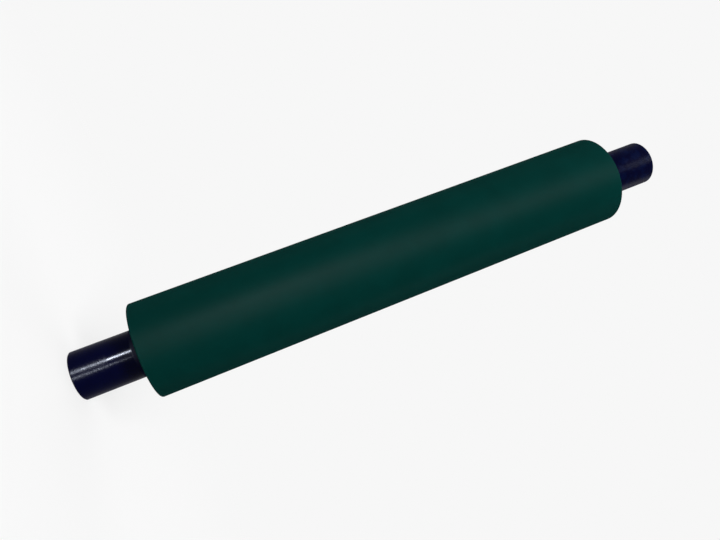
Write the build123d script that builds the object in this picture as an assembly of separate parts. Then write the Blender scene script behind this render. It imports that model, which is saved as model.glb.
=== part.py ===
from build123d import *
import math
import os

# An ink form roller: a steel core with a plain round journal at each end, and a thick rubber covering
# bonded onto the length between them. Millimetres. The roller stands on the end of one journal: its
# axis is +Z, and the origin is the centre of the face that it stands on.

# Rubber covering
rubber_diameter = 50.8
rubber_length = 274.0
rubber_edge_radius = 0.8

# Steel core
journal_diameter = 25.4
journal_length = 34.0
journal_chamfer = 0.5
bond_undercut = 0.25

# Centre hole in each end of the core
pilot_diameter = 3.15
pilot_length = 3.9
pilot_tip_angle = 118.0
seat_diameter = 6.7
seat_angle = 60.0
mouth_diameter = 10.0
mouth_angle = 120.0

# Sizes that follow
overall_length = rubber_length + 2 * journal_length
bond_radius = journal_diameter / 2 - bond_undercut
UPWARDS = (Align.CENTER, Align.CENTER, Align.MIN)


def cone_depth(wide_diameter, narrow_diameter, angle):
    """How deep a cone of this full angle, in degrees, runs between two diameters."""
    return (wide_diameter - narrow_diameter) / 2 / math.tan(math.radians(angle / 2))


def centre_hole():
    """The space of one centre hole, with its mouth at the origin and its pilot upwards.

    A wide cone guards the mouth from knocks, the next one seats the lathe's centre, and a drilled
    pilot clears the centre's tip.
    """
    seat_start = cone_depth(mouth_diameter, seat_diameter, mouth_angle)
    pilot_start = seat_start + cone_depth(seat_diameter, pilot_diameter, seat_angle)
    pilot_end = pilot_start + pilot_length
    tip = pilot_end + cone_depth(pilot_diameter, 0, pilot_tip_angle)
    half_section = Polyline(
        (0, 0, 0),
        (mouth_diameter / 2, 0, 0),
        (seat_diameter / 2, 0, seat_start),
        (pilot_diameter / 2, 0, pilot_start),
        (pilot_diameter / 2, 0, pilot_end),
        (0, 0, tip),
        close=True,
    )
    return revolve(make_face(half_section), Axis.Z)


def bond_seat():
    """The shallow ring turned off the bar where the rubber is bonded, which leaves a shoulder at each end."""
    outside = Cylinder(journal_diameter / 2 + bond_undercut, rubber_length, align=UPWARDS)
    inside = Cylinder(bond_radius, rubber_length, align=UPWARDS)
    return Pos(0, 0, journal_length) * (outside - inside)


def core():
    """One bar: chamfered at both ends, undercut along the rubber, and centre drilled."""
    bar = Cylinder(journal_diameter / 2, overall_length, align=UPWARDS)
    bar = chamfer(bar.edges().filter_by(GeomType.CIRCLE), journal_chamfer)
    lower_centre = centre_hole()
    upper_centre = Pos(0, 0, overall_length) * Rot(180, 0, 0) * centre_hole()
    return bar - bond_seat() - lower_centre - upper_centre


def rubber_cover():
    """One tube of rubber that fills the bond seat, ground round and trimmed square, its edges eased."""
    roll = Cylinder(rubber_diameter / 2, rubber_length, align=UPWARDS)
    roll = fillet(roll.edges().filter_by(GeomType.CIRCLE), rubber_edge_radius)
    bore = Cylinder(bond_radius, rubber_length, align=UPWARDS)
    return Pos(0, 0, journal_length) * (roll - bore)


os.makedirs("parts", exist_ok=True)
export_step(core(), "parts/core.step")
export_step(rubber_cover(), "parts/rubber_cover.step")
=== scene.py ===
from math import cos, pi, radians, sin, tan

import bmesh
import bpy
from mathutils import Matrix, Vector


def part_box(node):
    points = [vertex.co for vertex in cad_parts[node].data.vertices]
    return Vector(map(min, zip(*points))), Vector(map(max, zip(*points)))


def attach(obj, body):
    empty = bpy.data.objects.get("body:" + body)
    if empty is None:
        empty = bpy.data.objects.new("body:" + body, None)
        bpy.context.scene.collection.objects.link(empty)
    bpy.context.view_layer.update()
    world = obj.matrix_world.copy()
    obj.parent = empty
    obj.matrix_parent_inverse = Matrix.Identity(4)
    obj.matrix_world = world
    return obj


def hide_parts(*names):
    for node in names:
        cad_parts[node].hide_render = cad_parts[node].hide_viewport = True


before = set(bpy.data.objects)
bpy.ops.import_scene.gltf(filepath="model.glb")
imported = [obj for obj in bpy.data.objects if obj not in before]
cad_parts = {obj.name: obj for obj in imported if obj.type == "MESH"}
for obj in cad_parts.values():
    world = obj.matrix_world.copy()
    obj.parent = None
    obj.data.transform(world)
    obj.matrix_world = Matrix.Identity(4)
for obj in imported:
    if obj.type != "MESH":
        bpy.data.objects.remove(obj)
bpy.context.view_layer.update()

# An ink form roller, standing on the end of one journal. Metres, with the axis along Z.

MM = 0.001

# The roller's main sizes, from the frame
core_low, core_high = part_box("core")
rubber_low, rubber_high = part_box("rubber_cover")
JOURNAL_RADIUS = core_high.x
RUBBER_RADIUS = rubber_high.x
ROLLER_FOOT = core_low.z
ROLLER_TOP = core_high.z
RUBBER_FOOT = rubber_low.z
RUBBER_TOP = rubber_high.z
JOURNAL_LENGTH = RUBBER_FOOT - ROLLER_FOOT

# Turned details of the two pieces
BOND_RADIUS = JOURNAL_RADIUS - 0.25 * MM
JOURNAL_CHAMFER = 0.5 * MM
RUBBER_EDGE = 0.8 * MM
RUBBER_EDGE_FACETS = 8
ARRIS_BREAK = 0.09 * MM
ARRIS_FACETS = 2
TURNED_STEPS = 288

# Centre hole at each end of the core
PILOT_RADIUS = 1.575 * MM
PILOT_LENGTH = 3.9 * MM
SEAT_RADIUS = 3.35 * MM
MOUTH_RADIUS = 5.0 * MM
PILOT_TIP_ANGLE = radians(118)
SEAT_ANGLE = radians(60)
MOUTH_ANGLE = radians(120)

# How near two points count as one, or two heights or radii as the same
SAME_POINT = 0.001 * MM
SAME_SIZE = 0.01 * MM
SMALLEST_RING = 0.1 * MM

# Bends past which an edge is rounded off or creased, and how much larger a broad face is than a narrow one
SHARP_BEND = radians(20)
CREASED_BEND = radians(30)
BROAD = 3.0

# How far the rings of the lathe's feed lean towards the rubber, and how much of each journal a bearing rubs
RING_LEAN = radians(10)
BEARING_RUN = 18.0 * MM

# Where the rubber's finish changes: past the bond, and short of the wall
BOND_LINE = 0.45 * MM
BOND_LINE_FADE = 0.2 * MM
TRIMMED_UP_TO = 1.0 * MM
TRIMMED_FADE = 0.4 * MM

# Where the lacquer changes: round a seat, at the end of the bearing's run, and near the rubber
SEAT_WEAR = 0.05 * MM
SEAT_WEAR_FADE = 0.25 * MM
BEARING_FADE = 1.0 * MM
DULL_RING = 3.8 * MM
DULL_RING_FADE = 0.6 * MM
UPPER_JOURNAL_FADE = 4.0 * MM

# Depths of the lacquer's beads: all over, and what is added where a bearing runs and on the upper journal
FRESH_BEADS = 0.003 * MM
BEARING_BEADS = 0.009 * MM
UPPER_JOURNAL_BEADS = 0.004 * MM

# Colours of the rubber
DEEP_GREEN = (0.0001, 0.0240, 0.0205, 1.0)
PALE_GREEN = (0.0002, 0.0276, 0.0237, 1.0)
TRIMMED_GREEN = (0.0040, 0.0350, 0.0310, 1.0)
BOND_BLACK = (0.0010, 0.0012, 0.0014, 1.0)

# Colours of the lacquer, the tint of its gloss, and the steel under it
NAVY = (0.0002, 0.0004, 0.0135, 1.0)
THIN_NAVY = (0.0003, 0.0007, 0.0160, 1.0)
WORN_NAVY = (0.0040, 0.0055, 0.0280, 1.0)
# Painted sheen: a lighter navy laid in patches on the upper journal, standing in for the blue haze of light
# on its lacquer
PAINTED_SHEEN_NAVY = (0.0004, 0.0023, 0.0235, 1.0)
GLOSS_TINT = (0.80, 0.86, 1.0, 1.0)
BARE_STEEL = (0.28, 0.28, 0.29, 1.0)

# The photograph's camera, which looks at the roller from the side with its own head turned
CAMERA_FROM_AXIS = 306.25 * MM
CAMERA_HEIGHT = 90.55 * MM
CAMERA_PITCH = radians(11.584)
CAMERA_YAW = radians(-0.115)
CAMERA_ROLL = radians(69.104)
PHOTO_WIDTH_PX = 720
FOCAL_LENGTH_PX = 564.4
SENSOR_WIDTH = 36.0
NEAREST_SEEN = 0.01
FARTHEST_SEEN = 50.0

# Pale room, and how brightly it lights the roller
PALE = (0.93, 0.93, 0.93, 1.0)
WHITE = (1.0, 1.0, 1.0, 1.0)
FILL_LEVEL = 0.09

# Floor: its colour where it takes a shadow, and the darker one of the light that it throws back
FLOOR_RADIUS = 4.0
FLOOR_STEPS = 96
FLOOR_COLOUR = (0.96, 0.96, 0.96, 1.0)
FLOOR_BOUNCE = (0.40, 0.40, 0.40, 1.0)

# The share of the floor's look that takes a shadow near the foot, and the distances over which it fades out
SHADOW_SHARE = 0.22
SHADOW_FROM = 0.05
SHADOW_TO = 0.40

# Lamps: name, bearing, distance, height, height that it faces, width, how tall it is, brightness
LAMPS = (
    ("top_softbox", radians(-90), 0.30, 1.60, 0.0, 1.5, 1.5, 0.6),
    ("front_softbox", radians(-18), 1.2, 0.35, 0.17, 0.6, 0.3, 6.6),
    ("upper_softbox", radians(1), 1.2, 1.05, 0.25, 0.6, 0.4, 23.0),
    ("side_softbox", radians(106), 1.2, 0.72, 0.25, 0.6, 0.5, 2.6),
    ("back_softbox", radians(-165), 1.5, 0.60, 0.17, 1.2, 1.0, 2.4),
)

# Lamps in the same order of values, which light the far side and don't show in gloss
FILLS = (
    ("right_fill", radians(140), 1.5, 0.50, 0.17, 1.0, 1.0, 2.8),
    ("left_fill", radians(-132), 1.5, 0.50, 0.17, 1.0, 1.0, 2.8),
)

# Slim lamps that show only in gloss, as two thin lines on the lower journal and a soft band on the rubber
GLINTS = (
    ("near_strip", radians(-23), 1.0, 0.053, 0.053, 0.11, 0.105, 110.0),
    ("bright_strip", radians(-23), 1.0, 0.128, 0.128, 0.11, 0.05, 1150.0),
    ("faint_strip", radians(3), 1.0, 0.053, 0.053, 0.09, 0.105, 280.0),
)

# A lamp that shows only in the rubber's gloss, and carries that band up to its upper end
COVER_SHINE = ("cover_shine", radians(-8), 1.2, 0.82, 0.30, 0.3, 0.3, 60.0)


def cone_depth(wide_radius, narrow_radius, angle):
    """How deep a cone of this full angle runs between two radii."""
    return (wide_radius - narrow_radius) / tan(angle / 2)


def half_end():
    """One end of the core as (radius, depth) points, from the bottom of its centre hole out to the bond."""
    seat_start = cone_depth(MOUTH_RADIUS, SEAT_RADIUS, MOUTH_ANGLE)
    pilot_start = seat_start + cone_depth(SEAT_RADIUS, PILOT_RADIUS, SEAT_ANGLE)
    pilot_end = pilot_start + PILOT_LENGTH
    tip = pilot_end + cone_depth(PILOT_RADIUS, 0.0, PILOT_TIP_ANGLE)
    return [
        (0.0, tip),
        (PILOT_RADIUS, pilot_end),
        (PILOT_RADIUS, pilot_start),
        (SEAT_RADIUS, seat_start),
        (MOUTH_RADIUS, 0.0),
        (JOURNAL_RADIUS - JOURNAL_CHAMFER, 0.0),
        (JOURNAL_RADIUS, JOURNAL_CHAMFER),
        (JOURNAL_RADIUS, JOURNAL_LENGTH),
        (BOND_RADIUS, JOURNAL_LENGTH),
    ]


def turn(profile, closed):
    """A mesh turned about Z from (radius, height) points; a closed profile makes a ring."""
    bm = bmesh.new()
    points = [bm.verts.new((radius, 0.0, height)) for radius, height in profile]
    ends = points[1:] + points[:1] if closed else points[1:]
    edges = [bm.edges.new(pair) for pair in zip(points, ends)]
    bmesh.ops.spin(
        bm,
        geom=points + edges,
        cent=(0, 0, 0),
        axis=(0, 0, 1),
        dvec=(0, 0, 0),
        angle=2 * pi,
        steps=TURNED_STEPS,
        use_merge=True,
        use_duplicate=False,
    )
    bmesh.ops.remove_doubles(bm, verts=bm.verts, dist=SAME_POINT)
    bmesh.ops.recalc_face_normals(bm, faces=bm.faces)
    return bm


def sharp_rings(bm, wanted):
    """The sharp edges that run round the axis, for which wanted(radius, height) is true."""
    found = []
    for edge in bm.edges:
        start, end = (corner.co for corner in edge.verts)
        radius = start.xy.length
        level = abs(start.z - end.z) < SAME_SIZE
        round_axis = abs(radius - end.xy.length) < SAME_SIZE and radius > SMALLEST_RING
        sharp = edge.calc_face_angle(0.0) > SHARP_BEND
        if level and round_axis and sharp and wanted(radius, start.z):
            found.append(edge)
    return found


def ease(bm, edges, offset, facets):
    """Rounds these edges off."""
    bmesh.ops.bevel(
        bm,
        geom=edges,
        offset=offset,
        offset_type="OFFSET",
        segments=facets,
        profile=0.5,
        affect="EDGES",
        material=-1,
    )


def finish_mesh(bm, name, material):
    """A shown piece from the mesh: smooth, with a crease wherever a broad face meets a narrow one."""
    for face in bm.faces:
        face.smooth = True
    for edge in bm.edges:
        areas = sorted(face.calc_area() for face in edge.link_faces)
        edge.smooth = areas[-1] < BROAD * areas[0] and edge.calc_face_angle(0.0) < CREASED_BEND
    mesh = bpy.data.meshes.new(name)
    bm.to_mesh(mesh)
    bm.free()
    mesh.materials.append(material)
    piece = bpy.data.objects.new(name, mesh)
    bpy.context.scene.collection.objects.link(piece)
    return piece


def make_core(material):
    """The steel bar: two journals, their chamfers and centre holes, and the bond seat under the rubber."""
    lower = [(radius, ROLLER_FOOT + depth) for radius, depth in half_end()]
    upper = [(radius, ROLLER_TOP - depth) for radius, depth in reversed(half_end())]
    bm = turn(lower + upper, closed=False)
    showing = sharp_rings(bm, lambda radius, height: height < RUBBER_FOOT - MM or height > RUBBER_TOP + MM)
    ease(bm, showing, ARRIS_BREAK, ARRIS_FACETS)
    return finish_mesh(bm, "steel_core", material)


def make_rubber(material):
    """The rubber tube, trimmed square at both ends, with its outer edges eased."""
    section = [
        (BOND_RADIUS, RUBBER_FOOT),
        (RUBBER_RADIUS, RUBBER_FOOT),
        (RUBBER_RADIUS, RUBBER_TOP),
        (BOND_RADIUS, RUBBER_TOP),
    ]
    bm = turn(section, closed=True)
    outer = sharp_rings(bm, lambda radius, height: radius > RUBBER_RADIUS - MM)
    ease(bm, outer, RUBBER_EDGE, RUBBER_EDGE_FACETS)
    return finish_mesh(bm, "green_rubber_cover", material)


def node(tree, kind, inputs=None, **settings):
    """Adds a node with these settings, and sets or links each named input."""
    made = tree.nodes.new(kind)
    for name, value in settings.items():
        setattr(made, name, value)
    for name, value in (inputs or {}).items():
        if isinstance(value, bpy.types.NodeSocket):
            tree.links.new(value, made.inputs[name])
        else:
            made.inputs[name].default_value = value
    return made


def calculate(tree, operation, *values):
    """A Math node on one, two or three values, and its result."""
    made = node(tree, "ShaderNodeMath", dict(enumerate(values)), operation=operation)
    return made.outputs["Value"]


def eased_rise(tree, value, start, end):
    """0 before start and 1 past end, with a soft rise between."""
    made = node(
        tree,
        "ShaderNodeMapRange",
        {"Value": value, "From Min": start, "From Max": end},
        interpolation_type="SMOOTHSTEP",
    )
    return made.outputs["Result"]


def eased_fall(tree, value, start, end):
    """1 before start and 0 past end, with a soft fall between."""
    return calculate(tree, "SUBTRACT", 1.0, eased_rise(tree, value, start, end))


def blend_colours(tree, factor, first, second):
    """The first colour where the factor is 0, and the second where it is 1."""
    made = node(tree, "ShaderNodeMix", {"Factor": factor}, data_type="RGBA")
    for name, value in (("A", first), ("B", second)):
        socket = next(s for s in made.inputs if s.name == name and s.type == "RGBA")
        if isinstance(value, bpy.types.NodeSocket):
            tree.links.new(value, socket)
        else:
            socket.default_value = value
    return next(s for s in made.outputs if s.type == "RGBA")


def object_place(tree):
    """Object coordinates."""
    return node(tree, "ShaderNodeTexCoord").outputs["Object"]


def height_of(tree, place):
    """How high a place is above the floor."""
    return node(tree, "ShaderNodeSeparateXYZ", {"Vector": place}).outputs["Z"]


def radius_of(tree, place):
    """How far a place is from the axis."""
    flat = node(tree, "ShaderNodeVectorMath", {0: place, 1: (1.0, 1.0, 0.0)}, operation="MULTIPLY")
    length = node(tree, "ShaderNodeVectorMath", {0: flat.outputs["Vector"]}, operation="LENGTH")
    return length.outputs["Value"]


def new_group(name, inputs, outputs):
    """An empty shader group with these number inputs, and number outputs."""
    tree = bpy.data.node_groups.new(name, "ShaderNodeTree")
    for label, value in inputs.items():
        socket = tree.interface.new_socket(label, in_out="INPUT", socket_type="NodeSocketFloat")
        socket.default_value = value
    for label in outputs:
        tree.interface.new_socket(label, in_out="OUTPUT", socket_type="NodeSocketFloat")
    return tree, tree.nodes.new("NodeGroupInput"), tree.nodes.new("NodeGroupOutput")


def place_group(tree, group, inputs):
    """Places a group in a material with its own values."""
    made = tree.nodes.new("ShaderNodeGroup")
    made.node_tree = group
    for label, value in inputs.items():
        made.inputs[label].default_value = value
    return made


def ring_wave(tree, turns, wander):
    """A wave from 0 to 1, with one crest for each turn of the work, set a little unevenly."""
    drift = node(
        tree,
        "ShaderNodeTexNoise",
        {"W": turns, "Scale": 0.37, "Detail": 2.0},
        noise_dimensions="1D",
    )
    shift = calculate(tree, "MULTIPLY", drift.outputs["Fac"], wander)
    phase = calculate(tree, "MULTIPLY", calculate(tree, "ADD", turns, shift), 2 * pi)
    return calculate(tree, "MULTIPLY_ADD", calculate(tree, "SINE", phase), 0.5, 0.5)


def cut_depth(tree, place, patch_run):
    """How deep the tool cut, from 0 to 1, in patches round the axis and along the tool's run."""
    patches_per_metre = 160.0
    across = (patches_per_metre, patches_per_metre, 0.0)
    around = node(tree, "ShaderNodeVectorMath", {0: place, 1: across}, operation="MULTIPLY")
    along = node(tree, "ShaderNodeCombineXYZ", {"Z": patch_run})
    patch_place = node(
        tree,
        "ShaderNodeVectorMath",
        {0: around.outputs["Vector"], 1: along.outputs["Vector"]},
        operation="ADD",
    )
    patches = node(
        tree,
        "ShaderNodeTexNoise",
        {"Vector": patch_place.outputs["Vector"], "Scale": 1.0, "Detail": 3.0, "Roughness": 0.6},
    )
    return eased_rise(tree, patches.outputs["Fac"], start=0.3, end=0.7)


def lathe_marks_group():
    """Fine rings left by a lathe or grinder: along the height on a wall, and along the radius on an end."""
    tree, given, result = new_group(
        "lathe_marks",
        {"Pitch": 0.5 * MM, "Wander": 0.5, "Patch Length": 2.0 * MM},
        ("Height", "Patches"),
    )
    place = object_place(tree)
    tool_run = calculate(tree, "ADD", height_of(tree, place), radius_of(tree, place))
    turns = calculate(tree, "DIVIDE", tool_run, given.outputs["Pitch"])
    wave = ring_wave(tree, turns, given.outputs["Wander"])
    depth = cut_depth(tree, place, calculate(tree, "DIVIDE", tool_run, given.outputs["Patch Length"]))
    tree.links.new(calculate(tree, "MULTIPLY", wave, depth), result.inputs["Height"])
    tree.links.new(depth, result.inputs["Patches"])
    return tree


def mottle_group():
    """Slow uneven patches, and a fine grain, over a surface."""
    tree, given, result = new_group(
        "mottle",
        {"Patch Size": 12.0 * MM, "Grain Size": 0.4 * MM},
        ("Patches", "Grain"),
    )
    place = object_place(tree)
    for size, name, detail in (("Patch Size", "Patches", 3.0), ("Grain Size", "Grain", 2.0)):
        scale = calculate(tree, "DIVIDE", 1.0, given.outputs[size])
        cloud = node(tree, "ShaderNodeTexNoise", {"Vector": place, "Scale": scale, "Detail": detail})
        spread = eased_rise(tree, cloud.outputs["Fac"], start=0.25, end=0.75)
        tree.links.new(spread, result.inputs[name])
    return tree


def distance_to(tree, value, target):
    """How far a value is from a target, either way."""
    return calculate(tree, "ABSOLUTE", calculate(tree, "SUBTRACT", value, target))


def rubbed_edge_group():
    """Where the outer edge at each end of a turned piece is handled: 1 on the edge, 0 a little way off."""
    tree, given, result = new_group(
        "rubbed_edge",
        {"Radius": 25.4 * MM, "Low End": 34.0 * MM, "High End": 308.0 * MM, "Width": 1.0 * MM},
        ("Mask",),
    )
    place = object_place(tree)
    height = height_of(tree, place)
    from_low = distance_to(tree, height, given.outputs["Low End"])
    from_high = distance_to(tree, height, given.outputs["High End"])
    from_end = calculate(tree, "MINIMUM", from_low, from_high)
    from_wall = distance_to(tree, radius_of(tree, place), given.outputs["Radius"])
    away = calculate(tree, "DIVIDE", calculate(tree, "ADD", from_end, from_wall), given.outputs["Width"])
    scuffs = node(tree, "ShaderNodeTexNoise", {"Vector": place, "Scale": 420.0, "Detail": 3.0})
    near = eased_fall(tree, away, start=0.3, end=1.0)
    uneven = eased_rise(tree, scuffs.outputs["Fac"], start=0.35, end=0.65)
    tree.links.new(calculate(tree, "MULTIPLY", near, uneven), result.inputs["Mask"])
    return tree


def new_material(name):
    """A material with only its surface shader, and the shader."""
    material = bpy.data.materials.new(name)
    material.use_nodes = True
    tree = material.node_tree
    tree.nodes.clear()
    shader = tree.nodes.new("ShaderNodeBsdfPrincipled")
    output = tree.nodes.new("ShaderNodeOutputMaterial")
    tree.links.new(shader.outputs["BSDF"], output.inputs["Surface"])
    return material, tree, shader


def seen_aslant(tree, start, end):
    """0 where the surface faces the viewer, and 1 where it is seen nearly edge on."""
    view = node(tree, "ShaderNodeLayerWeight", {"Blend": 0.5})
    return eased_rise(tree, view.outputs["Facing"], start, end)


def bumped(tree, shader, height, distance, strength):
    """Feeds a height to the shader's normal."""
    bump = node(tree, "ShaderNodeBump", {"Height": height, "Distance": distance, "Strength": strength})
    tree.links.new(bump.outputs["Normal"], shader.inputs["Normal"])


def rubber_colour(tree, clouds, rings_cut, rubbed, radius, on_end):
    """Green in slow patches, paler where a knife trimmed it or hands rub it, with a dark line of bond."""
    cut_evenly = 0.4
    cut_in_patches = 0.6
    rubbed_pale = 0.5
    body = blend_colours(tree, clouds.outputs["Patches"], DEEP_GREEN, PALE_GREEN)
    knife = calculate(tree, "MULTIPLY_ADD", rings_cut.outputs["Patches"], cut_in_patches, cut_evenly)
    ends = blend_colours(tree, calculate(tree, "MULTIPLY", on_end, knife), body, TRIMMED_GREEN)
    edged = blend_colours(tree, calculate(tree, "MULTIPLY", rubbed, rubbed_pale), ends, TRIMMED_GREEN)
    line_end = BOND_RADIUS + BOND_LINE
    at_bond = eased_fall(tree, radius, line_end, line_end + BOND_LINE_FADE)
    return blend_colours(tree, at_bond, edged, BOND_BLACK)


def rubber_roughness(tree, grain, on_end):
    """Matte all over, more so on the trimmed ends and where the rubber is seen aslant."""
    ground = 0.47
    by_grain = 0.05
    by_knife = 0.2
    by_slant = 0.45
    rough = calculate(tree, "MULTIPLY_ADD", grain, by_grain, ground)
    rough = calculate(tree, "MULTIPLY_ADD", on_end, by_knife, rough)
    aslant = seen_aslant(tree, start=0.25, end=0.75)
    return calculate(tree, "MULTIPLY_ADD", aslant, by_slant, rough)


def rubber_relief(tree, grain, ring_height, on_end):
    """Faint grinding rings on the wall, deeper knife rings on the ends, and a fine grain over both."""
    grain_depth = 0.35
    wall_depth = 0.4
    more_on_end = 1.2
    grain_height = calculate(tree, "MULTIPLY", grain, grain_depth)
    ring_depth = calculate(tree, "MULTIPLY_ADD", on_end, more_on_end, wall_depth)
    return calculate(tree, "MULTIPLY_ADD", ring_height, ring_depth, grain_height)


def green_rubber(lathe_marks, mottle, rubbed_edge):
    """Dark green press rubber: ground round and matte, with knife-trimmed ends and a dark line of bond."""
    material, tree, shader = new_material("green_rubber")
    radius = radius_of(tree, object_place(tree))
    trimmed_end = RUBBER_RADIUS - TRIMMED_UP_TO
    on_end = eased_fall(tree, radius, trimmed_end, trimmed_end + TRIMMED_FADE)
    clouds = place_group(tree, mottle, {"Patch Size": 16.0 * MM, "Grain Size": 0.35 * MM})
    rings_cut = place_group(tree, lathe_marks, {"Pitch": 1.4 * MM, "Wander": 0.6, "Patch Length": 5.0 * MM})
    edge = place_group(
        tree,
        rubbed_edge,
        {"Radius": RUBBER_RADIUS, "Low End": RUBBER_FOOT, "High End": RUBBER_TOP, "Width": 1.6 * MM},
    )
    colour = rubber_colour(tree, clouds, rings_cut, edge.outputs["Mask"], radius, on_end)
    rough = rubber_roughness(tree, clouds.outputs["Grain"], on_end)
    relief = rubber_relief(tree, clouds.outputs["Grain"], rings_cut.outputs["Height"], on_end)
    tree.links.new(colour, shader.inputs["Base Color"])
    tree.links.new(rough, shader.inputs["Roughness"])
    shader.inputs["Specular IOR Level"].default_value = 0.010
    bumped(tree, shader, relief, distance=0.02 * MM, strength=0.5)
    return material


def lacquer_colour(tree, patches, rubbed, painted_sheen_patches, in_seat):
    """Navy in small patches, worn at the edges, with a painted sheen of lighter navy in patches on the upper
    journal, and steel in the seats.
    """
    rubbed_through = 0.35
    body = blend_colours(tree, patches, NAVY, THIN_NAVY)
    edged = blend_colours(tree, calculate(tree, "MULTIPLY", rubbed, rubbed_through), body, WORN_NAVY)
    # Painted sheen: lighter navy in patches on the upper journal
    with_painted_sheen = blend_colours(tree, painted_sheen_patches, edged, PAINTED_SHEEN_NAVY)
    return blend_colours(tree, in_seat, with_painted_sheen, BARE_STEEL)


def lacquer_roughness(tree, grain, ring_patches, run_in, duller, painted_sheen_patches, by_rubber):
    """Glossy, speckled where a bearing runs, dull close to the rubber and softer where it is seen aslant."""
    fresh = 0.13
    by_grain = 0.02
    by_bearing = 0.005
    by_speckles = 0.10
    speckled = calculate(tree, "MULTIPLY_ADD", grain, by_speckles, by_bearing)
    rough = calculate(tree, "MULTIPLY_ADD", grain, by_grain, fresh)
    rougher = (
        (run_in, speckled),
        (duller, 0.05),
        (painted_sheen_patches, 0.05),
        (by_rubber, 0.45),
        (seen_aslant(tree, start=0.40, end=0.90), 0.22),
        (ring_patches, 0.03),
    )
    for where, amount in rougher:
        rough = calculate(tree, "MULTIPLY_ADD", where, amount, rough)
    return rough


def lacquer_relief(tree, grain, ring_height, from_end, run_in, duller):
    """Grain and turned rings in metres, on a surface that leans as the lathe's feed left it."""
    beads = calculate(tree, "MULTIPLY_ADD", run_in, BEARING_BEADS, FRESH_BEADS)
    beads = calculate(tree, "MULTIPLY_ADD", duller, UPPER_JOURNAL_BEADS, beads)
    relief = calculate(tree, "MULTIPLY", from_end, -tan(RING_LEAN))
    relief = calculate(tree, "MULTIPLY_ADD", grain, beads, relief)
    return calculate(tree, "MULTIPLY_ADD", ring_height, beads, relief)


def lacquered_steel(lathe_marks, mottle, rubbed_edge):
    """Turned steel under dark navy lacquer, bare only where a lathe's centre runs in the end holes."""
    material, tree, shader = new_material("lacquered_steel")
    place = object_place(tree)
    height = height_of(tree, place)
    from_end = calculate(tree, "MINIMUM", height, calculate(tree, "SUBTRACT", ROLLER_TOP, height))
    clouds = place_group(tree, mottle, {"Patch Size": 5.0 * MM, "Grain Size": 0.7 * MM})
    marks = place_group(tree, lathe_marks, {"Pitch": 1.1 * MM, "Wander": 0.9, "Patch Length": 1.6 * MM})
    edge = place_group(
        tree,
        rubbed_edge,
        {"Radius": JOURNAL_RADIUS, "Low End": ROLLER_FOOT, "High End": ROLLER_TOP, "Width": 1.4 * MM},
    )
    run_in = eased_fall(tree, from_end, BEARING_RUN - BEARING_FADE / 2, BEARING_RUN + BEARING_FADE / 2)
    ring_start = JOURNAL_LENGTH - DULL_RING
    by_rubber = eased_rise(tree, from_end, ring_start - DULL_RING_FADE, ring_start)
    duller = eased_rise(tree, height, RUBBER_TOP - UPPER_JOURNAL_FADE, RUBBER_TOP)
    # Where the painted sheen lies on the upper journal; the same patches also roughen the lacquer there
    sheen_patch_spread = eased_rise(tree, clouds.outputs["Patches"], start=0.40, end=0.85)
    painted_sheen_patches = calculate(tree, "MULTIPLY", duller, sheen_patch_spread)
    wear_end = SEAT_RADIUS + SEAT_WEAR
    in_seat = eased_fall(tree, radius_of(tree, place), wear_end, wear_end + SEAT_WEAR_FADE)
    grain = clouds.outputs["Grain"]
    colour = lacquer_colour(tree, clouds.outputs["Patches"], edge.outputs["Mask"], painted_sheen_patches, in_seat)
    rough = lacquer_roughness(tree, grain, marks.outputs["Patches"], run_in, duller, painted_sheen_patches, by_rubber)
    relief = lacquer_relief(tree, grain, marks.outputs["Height"], from_end, run_in, duller)
    tree.links.new(colour, shader.inputs["Base Color"])
    tree.links.new(in_seat, shader.inputs["Metallic"])
    tree.links.new(rough, shader.inputs["Roughness"])
    shader.inputs["Specular IOR Level"].default_value = 0.03
    shader.inputs["Specular Tint"].default_value = GLOSS_TINT
    bumped(tree, shader, relief, distance=1.0, strength=1.0)
    return material


def seen_directly(tree):
    """1 for the camera's rays and for what shows in gloss or through glass, 0 for light on things."""
    path = node(tree, "ShaderNodeLightPath")
    first = calculate(tree, "MAXIMUM", path.outputs["Is Camera Ray"], path.outputs["Is Glossy Ray"])
    return calculate(tree, "MAXIMUM", first, path.outputs["Is Transmission Ray"])


def make_world():
    """A pale room to look at, which lights the roller softly from all round."""
    world = bpy.data.worlds.new("pale_room")
    world.use_nodes = True
    tree = world.node_tree
    tree.nodes.clear()
    shown = node(tree, "ShaderNodeBackground", {"Color": PALE, "Strength": 1.0})
    fill = node(tree, "ShaderNodeBackground", {"Color": WHITE, "Strength": FILL_LEVEL})
    mix = node(
        tree,
        "ShaderNodeMixShader",
        {0: seen_directly(tree), 1: fill.outputs["Background"], 2: shown.outputs["Background"]},
    )
    output = tree.nodes.new("ShaderNodeOutputWorld")
    tree.links.new(mix.outputs["Shader"], output.inputs["Surface"])
    bpy.context.scene.world = world


def pale_floor():
    """Plain pale to the eye, with some real shading near the roller's foot to keep its shadow."""
    material = bpy.data.materials.new("pale_floor")
    material.use_nodes = True
    tree = material.node_tree
    tree.nodes.clear()
    near = eased_fall(tree, radius_of(tree, object_place(tree)), SHADOW_FROM, SHADOW_TO)
    seen = seen_directly(tree)
    unseen = calculate(tree, "SUBTRACT", 1.0, seen)
    shaded = calculate(tree, "MAXIMUM", calculate(tree, "MULTIPLY", near, SHADOW_SHARE), unseen)
    plain = node(tree, "ShaderNodeEmission", {"Color": PALE, "Strength": 1.0})
    colour = blend_colours(tree, seen, FLOOR_BOUNCE, FLOOR_COLOUR)
    matte = node(tree, "ShaderNodeBsdfDiffuse", {"Color": colour})
    mix = node(
        tree,
        "ShaderNodeMixShader",
        {0: shaded, 1: plain.outputs["Emission"], 2: matte.outputs["BSDF"]},
    )
    output = tree.nodes.new("ShaderNodeOutputMaterial")
    tree.links.new(mix.outputs["Shader"], output.inputs["Surface"])
    return material


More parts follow.
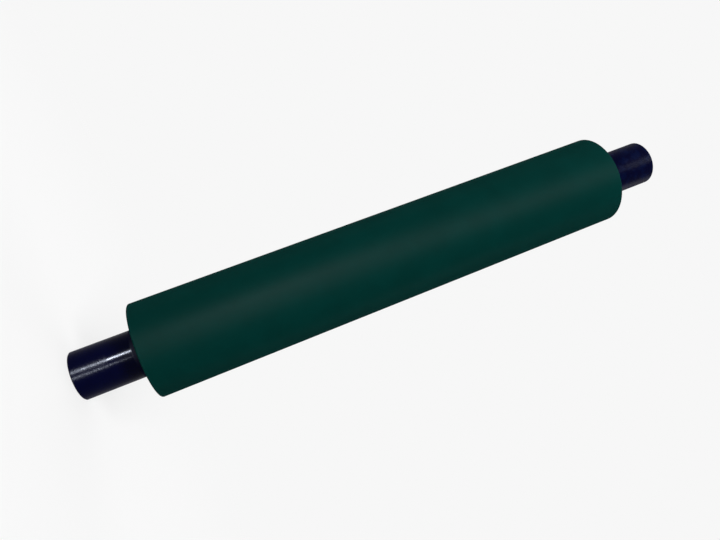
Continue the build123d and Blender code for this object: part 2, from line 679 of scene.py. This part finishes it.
def make_floor():
    """A wide pale floor that runs into the background."""
    bm = bmesh.new()
    bmesh.ops.create_circle(bm, cap_ends=True, segments=FLOOR_STEPS, radius=FLOOR_RADIUS)
    mesh = bpy.data.meshes.new("floor")
    bm.to_mesh(mesh)
    bm.free()
    mesh.materials.append(pale_floor())
    floor = bpy.data.objects.new("floor", mesh)
    bpy.context.scene.collection.objects.link(floor)


def make_lamp(name, bearing, distance, height, height_faced, width, tall, brightness):
    """A flat lamp that faces the axis at a height, at a bearing from the camera's side towards +X."""
    data = bpy.data.lights.new(name, "AREA")
    data.shape = "RECTANGLE"
    data.size = width
    data.size_y = tall
    data.energy = brightness * pi * width * tall
    lamp = bpy.data.objects.new(name, data)
    place = Vector((distance * sin(bearing), -distance * cos(bearing), height))
    towards = Vector((0.0, 0.0, height_faced)) - place
    lamp.rotation_euler = towards.to_track_quat("-Z", "Y").to_euler()
    lamp.location = place
    lamp.visible_camera = False
    bpy.context.scene.collection.objects.link(lamp)
    return lamp


def light_studio(cover):
    """Broad soft lamps all round, and slim ones near the camera for the glints on the roller."""
    for lamp in LAMPS:
        make_lamp(*lamp)
    for lamp in FILLS:
        make_lamp(*lamp).visible_glossy = False
    for lamp in GLINTS:
        make_lamp(*lamp).visible_diffuse = False
    covering = bpy.data.collections.new("covering")
    covering.objects.link(cover)
    shine = make_lamp(*COVER_SHINE)
    shine.visible_diffuse = False
    shine.light_linking.receiver_collection = covering


def make_camera():
    """The photograph's camera."""
    data = bpy.data.cameras.new("camera")
    data.sensor_width = SENSOR_WIDTH
    data.lens = SENSOR_WIDTH * FOCAL_LENGTH_PX / PHOTO_WIDTH_PX
    data.clip_start = NEAREST_SEEN
    data.clip_end = FARTHEST_SEEN
    camera = bpy.data.objects.new("camera", data)
    turned = Matrix.Rotation(CAMERA_YAW, 4, "Z") @ Matrix.Rotation(pi / 2 + CAMERA_PITCH, 4, "X")
    place = Matrix.Translation((0.0, -CAMERA_FROM_AXIS, CAMERA_HEIGHT))
    camera.matrix_world = place @ turned @ Matrix.Rotation(CAMERA_ROLL, 4, "Z")
    bpy.context.scene.collection.objects.link(camera)
    bpy.context.scene.camera = camera


def dress_roller():
    """Both shown pieces, each in its finish and standing for its node; gives back the rubber."""
    effects = lathe_marks_group(), mottle_group(), rubbed_edge_group()
    core = make_core(lacquered_steel(*effects))
    cover = make_rubber(green_rubber(*effects))
    for piece, node_name, slot_name in (
        (core, "core", "lacquered_steel"),
        (cover, "rubber_cover", "green_rubber"),
    ):
        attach(piece, "root")
        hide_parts(node_name)
    return cover


rubber_cover = dress_roller()
make_world()
make_floor()
light_studio(rubber_cover)
make_camera()
bpy.context.scene.view_settings.view_transform = "Standard"
